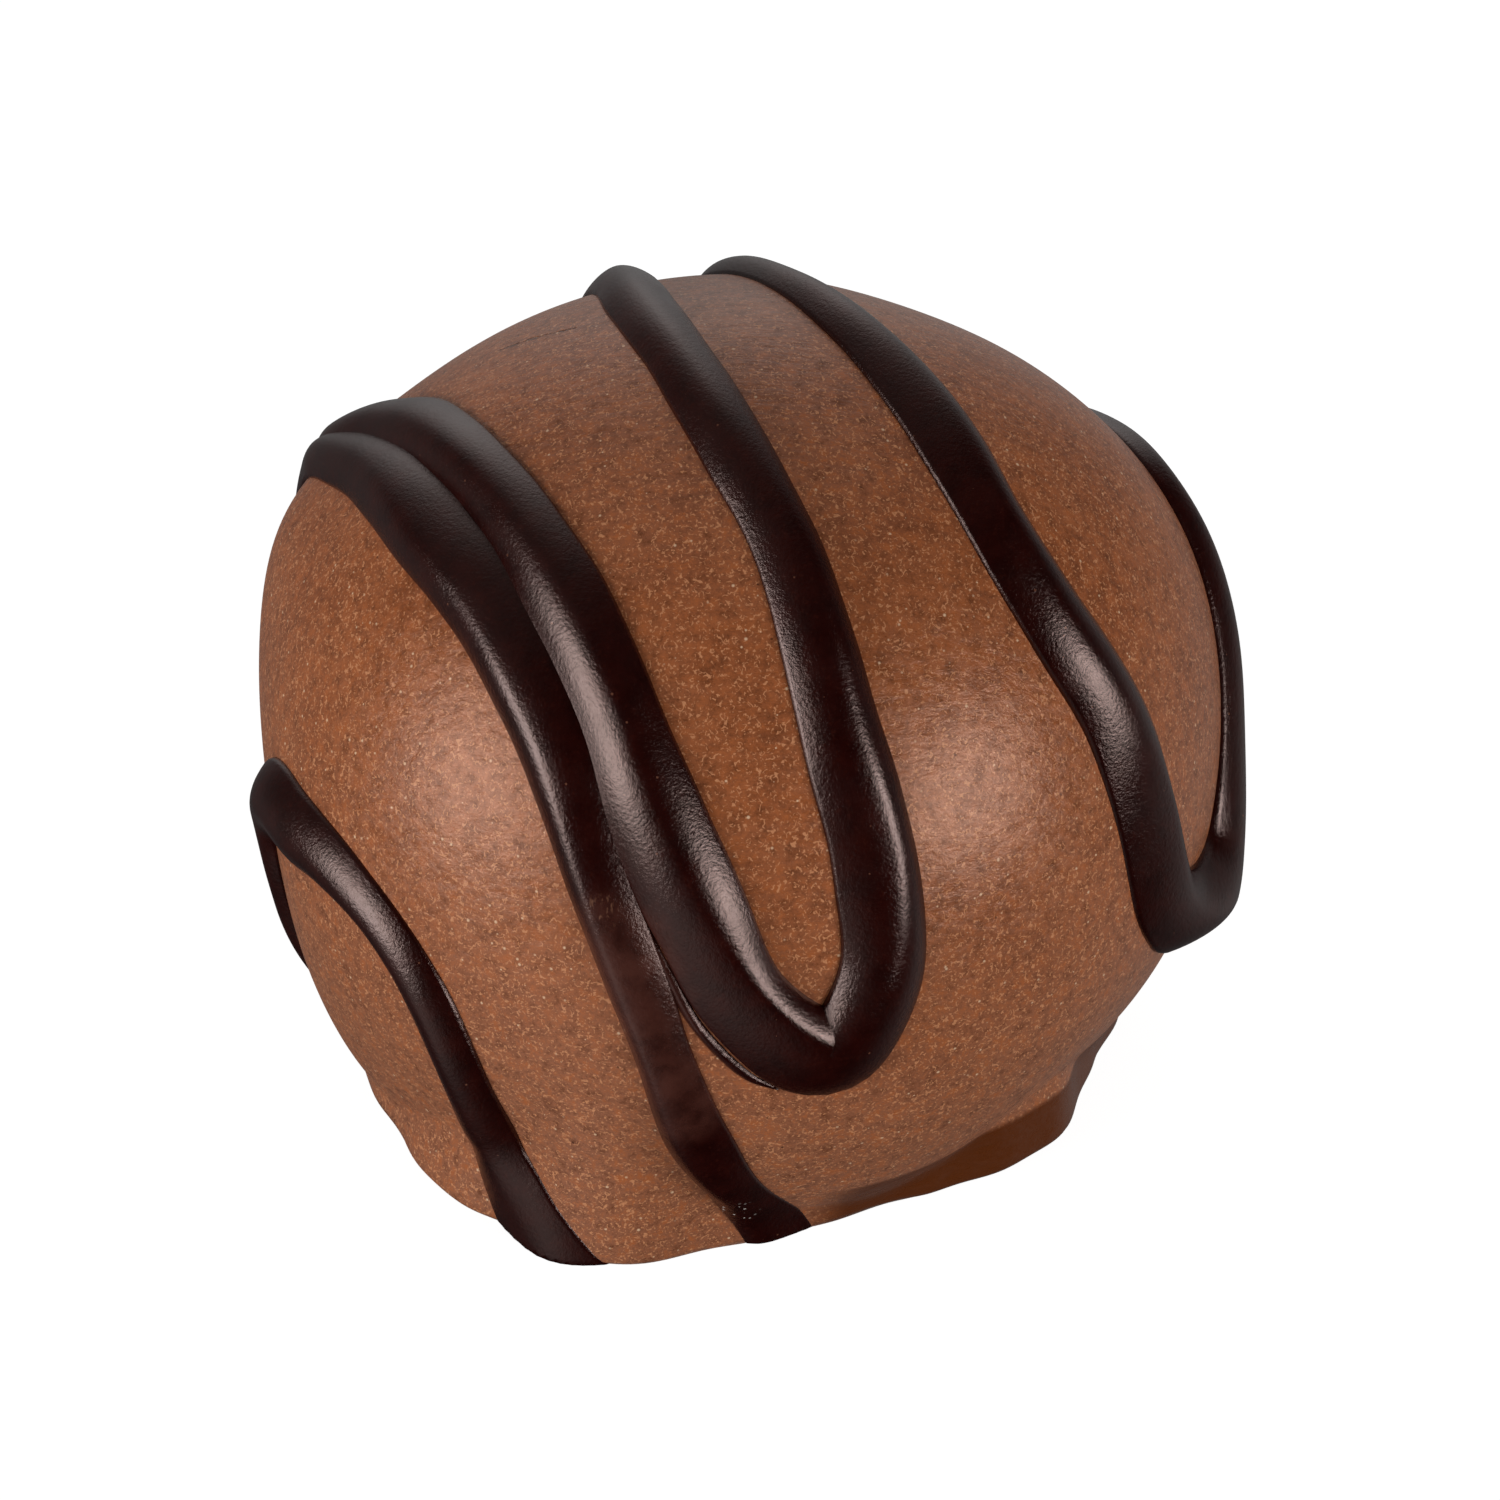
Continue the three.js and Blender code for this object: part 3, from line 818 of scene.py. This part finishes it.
def milk_chocolate():
    """Satin brown: blotches, fine mottle, pale threads and specks, pits, one crack, painted top sheen
    and skirt shade.
    """
    material, nodes, shader = new_material("milk_chocolate")
    place = nodes.millimetres()
    height = nodes.add("ShaderNodeSeparateXYZ", {"Vector": place}).outputs[2]
    blotches = nodes.noise(place, size=3.0, detail=3)
    colour = nodes.mix(nodes.eased(blotches, *MILK_PALE_BLOTCHES), MILK_DEEP, MILK_PALE)
    colour = nodes.mix(nodes.spread(height, *MILK_LOW_HEIGHTS), colour, MILK_LOW)
    # Painted sheen: the top is mixed towards a greyer tone
    colour = nodes.mix(nodes.spread(height, *MILK_TOP_PAINTED_SHEEN_HEIGHTS), colour, MILK_TOP_PAINTED_SHEEN)
    mottle = nodes.noise(place, size=0.5, detail=6, roughness=0.85)
    colour = nodes.mix(nodes.spread(mottle, *MILK_ORANGE_MOTTLE), colour, MILK_ORANGE)
    colour = nodes.mix(nodes.spread(mottle, *MILK_DARK_MOTTLE), colour, MILK_DARK)

    for turned, spacing, share_shown, strength in MILK_FIBRE_LAYERS:
        layer_place = nodes.millimetres(turned)
        threads = fibres(nodes, layer_place, spacing, MILK_FIBRE_THICKNESS, share_shown)
        colour = nodes.mix(nodes.times(threads, strength), colour, MILK_FLECK)
    bright_place = nodes.millimetres(turned=(30, 10, 50))
    bright = specks(nodes, bright_place, spacing=0.31, share_shown=0.55, radius=0.068)
    colour = nodes.mix(nodes.times(bright, MILK_BRIGHT_FLECK_SHARE), colour, MILK_BRIGHT_FLECK)
    pit_place = nodes.millimetres(turned=(10, 80, 20), stretched=(1, 1.6, 1))
    pits = specks(nodes, pit_place, spacing=0.5, share_shown=0.25, radius=0.07)
    colour = nodes.mix(nodes.times(pits, MILK_PIT_SHARE), colour, MILK_PIT)

    # Painted shade on the skirt under the belly's overhang
    apart = nodes.add("ShaderNodeVectorMath", {0: place, 1: SKIRT_SHADE_MIDDLE}, operation="DISTANCE")
    near = nodes.eased(apart.outputs["Value"], SKIRT_SHADE_RADIUS, SKIRT_SHADE_CORE)
    low_down = nodes.eased(height, SKIRT_SHADE_TOP + SKIRT_SHADE_FADE, SKIRT_SHADE_TOP)
    colour = nodes.mix(nodes.times(near, low_down), colour, MILK_SKIRT_PAINTED_SHADE)
    cracked = line_mark(nodes, place, spot(*CRACK_START), spot(*CRACK_END), CRACK_WIDTH)
    colour = nodes.mix(nodes.times(cracked, MILK_CRACK_SHARE), colour, MILK_PIT)
    nodes.put(shader.inputs["Base Color"], colour)

    streak_place = nodes.millimetres(turned=(0, 0, 35), stretched=(0.2, 1, 1))
    streaks = nodes.noise(streak_place, size=0.35, detail=4, roughness=0.65, distortion=0.4)
    gloss = nodes.math("ADD", nodes.times(streaks, 0.5), nodes.times(mottle, 0.5))
    nodes.put(shader.inputs["Roughness"], nodes.spread(streaks, *MILK_ROUGHNESS))
    nodes.put(shader.inputs["Specular IOR Level"], nodes.spread(gloss, *MILK_GLOSS))
    nodes.put(shader.inputs["Specular Tint"], MILK_GLOSS_TINT)
    nodes.put(shader.inputs["Sheen Weight"], MILK_SHEEN_WEIGHT)
    nodes.put(shader.inputs["Sheen Roughness"], MILK_SHEEN_ROUGHNESS)
    nodes.put(shader.inputs["Sheen Tint"], MILK_SHEEN)

    grain = nodes.times(nodes.noise(place, size=0.2, detail=4, roughness=0.75), MILK_GRAIN_RELIEF)
    relief = nodes.math("ADD", grain, nodes.times(streaks, MILK_STREAK_RELIEF))
    relief = nodes.math("SUBTRACT", relief, nodes.times(cracked, MILK_CRACK_RELIEF))
    bump_inputs = {"Height": relief, "Strength": MILK_BUMP, "Distance": BUMP_METRES}
    bump = nodes.add("ShaderNodeBump", bump_inputs)
    nodes.put(shader.inputs["Normal"], bump.outputs[0])
    return material


def dark_chocolate():
    """Glossy near-black brown with a reddish film partly painted as sheen, flecks, scratches, chips and
    grains of sugar.
    """
    material, nodes, shader = new_material("dark_chocolate")
    place = nodes.millimetres()
    mottle = nodes.noise(place, size=0.9, detail=4, roughness=0.6)
    colour = nodes.mix(nodes.spread(mottle, *DARK_PALE_MOTTLE), DARK_DEEP, DARK_PALE)
    red_place = nodes.millimetres(turned=(40, 10, 70))
    reddish = nodes.noise(red_place, size=0.16, detail=3, roughness=0.6)
    colour = nodes.mix(nodes.spread(reddish, *DARK_RED_MOTTLE), colour, DARK_RED)
    uneven = nodes.spread(mottle, *DARK_FILM_AND_PAINTED_SHEEN_MOTTLE)
    # Reddish film, partly painted sheen, in patches on the first stroke's lower part
    for patch in RED_FILM_AND_PAINTED_SHEEN:
        film = nodes.times(uneven, around(nodes, place, *patch))
        colour = nodes.mix(film, colour, DARK_FILM_AND_PAINTED_SHEEN)

    flecks = specks(nodes, place, spacing=0.45, share_shown=0.35, radius=0.055)
    colour = nodes.mix(nodes.times(flecks, DARK_FLECK_SHARE), colour, DARK_FLECK)
    for start, end in DARK_SCRATCHES:
        scratch = line_mark(nodes, place, spot(*start), spot(*end), SCRATCH_WIDTH)
        colour = nodes.mix(nodes.times(scratch, DARK_SCRATCH_SHARE), colour, DARK_SCRATCH)
    chip_place = nodes.millimetres(stretched=(3, 1, 1))
    flakes = nodes.noise(chip_place, size=0.35, detail=4, roughness=0.7)
    chips = nodes.spread(flakes, *DARK_CHIPPED)
    colour = nodes.mix(nodes.times(chips, around(nodes, place, *CHIPS)), colour, DARK_SCRATCH)
    grains = specks(nodes, place, spacing=0.16, share_shown=0.4, radius=0.07)
    colour = nodes.mix(nodes.times(grains, around(nodes, place, *SUGAR)), colour, DARK_SUGAR)
    nodes.put(shader.inputs["Base Color"], colour)

    smears = nodes.noise(place, size=1.2, detail=4, roughness=0.6)
    nodes.put(shader.inputs["Roughness"], nodes.spread(smears, *DARK_ROUGHNESS))
    nodes.put(shader.inputs["Specular IOR Level"], DARK_GLOSS)
    nodes.put(shader.inputs["Specular Tint"], DARK_GLOSS_TINT)
    grain = nodes.noise(place, size=0.13, detail=3, roughness=0.7)
    bump_inputs = {"Height": grain, "Strength": DARK_BUMP, "Distance": BUMP_METRES}
    bump = nodes.add("ShaderNodeBump", bump_inputs)
    nodes.put(shader.inputs["Normal"], bump.outputs[0])
    return material


# Stage

def floor():
    """A plain white table. It doesn't light the object: the surroundings' lower half does that."""
    half = FLOOR_SIZE / 2
    outline = [(-half, -half), (half, -half), (half, half), (-half, half)]
    corners = [(x, y, -FLOOR_DROP) for x, y in outline]
    mesh = mesh_from("floor", corners, [(0, 1, 2, 3)])
    mesh.transform(Matrix.Scale(METRES, 4))
    thing = bpy.data.objects.new("floor", mesh)
    bpy.context.scene.collection.objects.link(thing)
    material, nodes, shader = new_material("floor")
    nodes.put(shader.inputs["Base Color"], (FLOOR_SHADE, FLOOR_SHADE, FLOOR_SHADE, 1))
    nodes.put(shader.inputs["Roughness"], 1.0)
    nodes.put(shader.inputs["Specular IOR Level"], 0.0)
    nodes.put(shader.inputs["Emission Color"], (1, 1, 1, 1))
    nodes.put(shader.inputs["Emission Strength"], FLOOR_GLOW)
    thing.data.materials.append(material)
    thing.visible_diffuse = False
    thing.visible_glossy = False
    thing.visible_shadow = False


def soft_box(name, azimuth, elevation, distance, width, height, radiance):
    """A flat white light of a given brightness that faces the ball's centre."""
    data = bpy.data.lights.new(name, "AREA")
    data.shape = "RECTANGLE"
    data.size = width * METRES
    data.size_y = height * METRES
    data.energy = radiance * math.pi * data.size * data.size_y
    thing = bpy.data.objects.new(name, data)
    way = Vector(direction(azimuth, elevation))
    thing.location = (way * distance + Vector((0, 0, CENTRE_HEIGHT))) * METRES
    thing.rotation_euler = (-way).to_track_quat("-Z", "Y").to_euler()
    bpy.context.scene.collection.objects.link(thing)


def fill_sheet(name, azimuth, elevation, irradiance):
    """Broad even light from one side that leaves no shine."""
    data = bpy.data.lights.new(name, "SUN")
    data.energy = irradiance
    data.angle = math.radians(FILL_SPREAD)
    thing = bpy.data.objects.new(name, data)
    way = Vector(direction(azimuth, elevation))
    thing.rotation_euler = (-way).to_track_quat("-Z", "Y").to_euler()
    thing.visible_glossy = False
    bpy.context.scene.collection.objects.link(thing)


def surroundings():
    """The room: broad soft glows that fade into each other, and dark between them."""
    world = bpy.data.worlds.new("studio")
    world.use_nodes = True
    bpy.context.scene.world = world
    nodes = Nodes(world.node_tree)
    way = nodes.add("ShaderNodeTexCoord").outputs["Generated"]
    light = 0.0
    for azimuth, elevation, brightness in ROOM_GLOWS:
        toward = tuple(float(part) for part in direction(azimuth, elevation))
        cosine = nodes.add("ShaderNodeVectorMath", {0: way, 1: toward}, operation="DOT_PRODUCT")
        away = nodes.math("SUBTRACT", cosine.outputs["Value"], 1)
        glow = nodes.math("EXPONENT", nodes.times(away, GLOW_SHARPNESS))
        light = nodes.math("ADD", light, nodes.times(glow, brightness))
    background = world.node_tree.nodes["Background"]
    nodes.put(background.inputs["Color"], (1, 1, 1, 1))
    nodes.put(background.inputs["Strength"], light)


def camera():
    """Looks at the ball from the front and above, framed as in the photograph."""
    right = Vector((1, 0, 0))
    up = Vector((0, math.sin(CAMERA_ELEVATION), math.cos(CAMERA_ELEVATION)))
    back = Vector((0, -math.cos(CAMERA_ELEVATION), math.sin(CAMERA_ELEVATION)))
    middle = PICTURE_PIXELS / 2
    aim = right * (middle - CENTRE_PIXEL_X) + up * (CENTRE_PIXEL_Y - middle)
    aim = aim / PIXELS_PER_MM + Vector((0, 0, CENTRE_HEIGHT))
    data = bpy.data.cameras.new("camera")
    data.sensor_width = SENSOR_WIDTH
    data.lens = PIXELS_PER_MM * CAMERA_DISTANCE / PICTURE_PIXELS * SENSOR_WIDTH
    data.clip_start = CAMERA_NEAR_METRES
    data.clip_end = CAMERA_FAR_METRES
    thing = bpy.data.objects.new("camera", data)
    thing.location = (aim + back * CAMERA_DISTANCE) * METRES
    thing.rotation_euler = (-back).to_track_quat("-Z", "Y").to_euler()
    bpy.context.scene.collection.objects.link(thing)
    bpy.context.scene.camera = thing


camera()
ball = finished_object("ball", body_mesh())
ball.data.materials.append(milk_chocolate())
drizzle = finished_object("drizzle", drizzle_mesh())
drizzle.data.materials.append(dark_chocolate())
floor()
surroundings()
soft_box("box_left", *LEFT_BOX)
soft_box("box_right", *RIGHT_BOX)
for number, sheet in enumerate(FILL_SHEETS):
    fill_sheet("fill_" + str(number), *sheet)
bpy.context.scene.view_settings.view_transform = "Standard"
bpy.context.scene.view_settings.look = "None"
